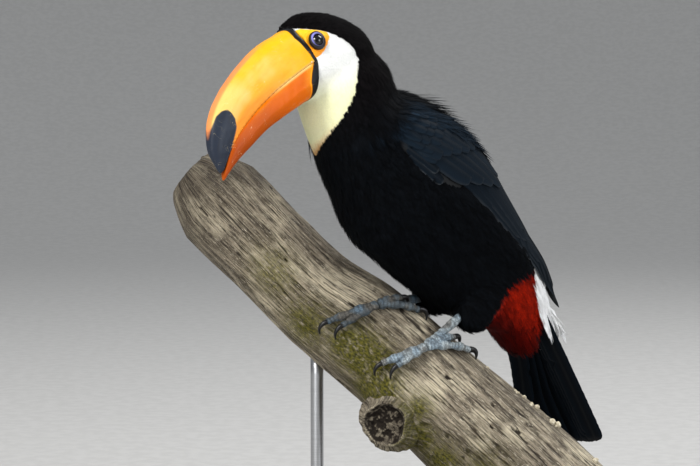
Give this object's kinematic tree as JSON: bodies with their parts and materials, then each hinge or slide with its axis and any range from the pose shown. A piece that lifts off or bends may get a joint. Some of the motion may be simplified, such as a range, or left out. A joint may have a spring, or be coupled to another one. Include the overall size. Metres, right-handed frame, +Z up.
{
  "type": "toco toucan on a perch, display model",
  "caption": "Life-size toco toucan leaning forward on a sloping cut branch, held by a plain display stand.",
  "frame": {"origin": "centre of the underside of the display stand's base", "axes": "+Z up; +X along the base's long side, towards the branch's lower end; -Y towards the viewer, the side the toucan's left flank and bill turn to"},
  "size_m": [0.3736, 0.2949, 0.4811],
  "materials": {
    "plumage_black": "fine black feathers with a faint blue-grey sheen",
    "plumage_white": "fine white feathers",
    "plumage_red": "loose dark red feathers",
    "bill_upper": "satin horn",
    "bill_lower": "satin horn",
    "eye": "wet and glossy",
    "leg_skin": "scaly blue-grey skin",
    "claw": "polished horn",
    "wood": "weathered, cracked and partly mossy",
    "stand_base": "satin dark stain",
    "stand_rod": "brushed"
  },
  "bodies": {
    "root": {"head": "plumage_white", "bill_upper": "bill_upper", "bill_lower": "bill_lower", "eye_left": "eye", "eye_right": "eye", "neck": "plumage_black", "trunk": "plumage_black", "wing_left": "plumage_black", "wing_right": "plumage_black", "tail": "plumage_black", "uppertail_coverts": "plumage_white", "undertail_coverts": "plumage_red", "thigh_left": "plumage_black", "thigh_right": "plumage_black", "tarsus_left": "leg_skin", "tarsus_right": "leg_skin", "toe_front_left_1": "leg_skin", "claw_front_left_1": "claw", "toe_front_left_2": "leg_skin", "claw_front_left_2": "claw", "toe_hind_left_1": "leg_skin", "claw_hind_left_1": "claw", "toe_hind_left_2": "leg_skin", "claw_hind_left_2": "claw", "toe_front_right_1": "leg_skin", "claw_front_right_1": "claw", "toe_front_right_2": "leg_skin", "claw_front_right_2": "claw", "toe_hind_right_1": "leg_skin", "claw_hind_right_1": "claw", "toe_hind_right_2": "leg_skin", "claw_hind_right_2": "claw", "perch": "wood", "stand_base": "stand_base", "stand_rod_1": "stand_rod", "stand_rod_2": "stand_rod"}
  },
  "joints": []
}
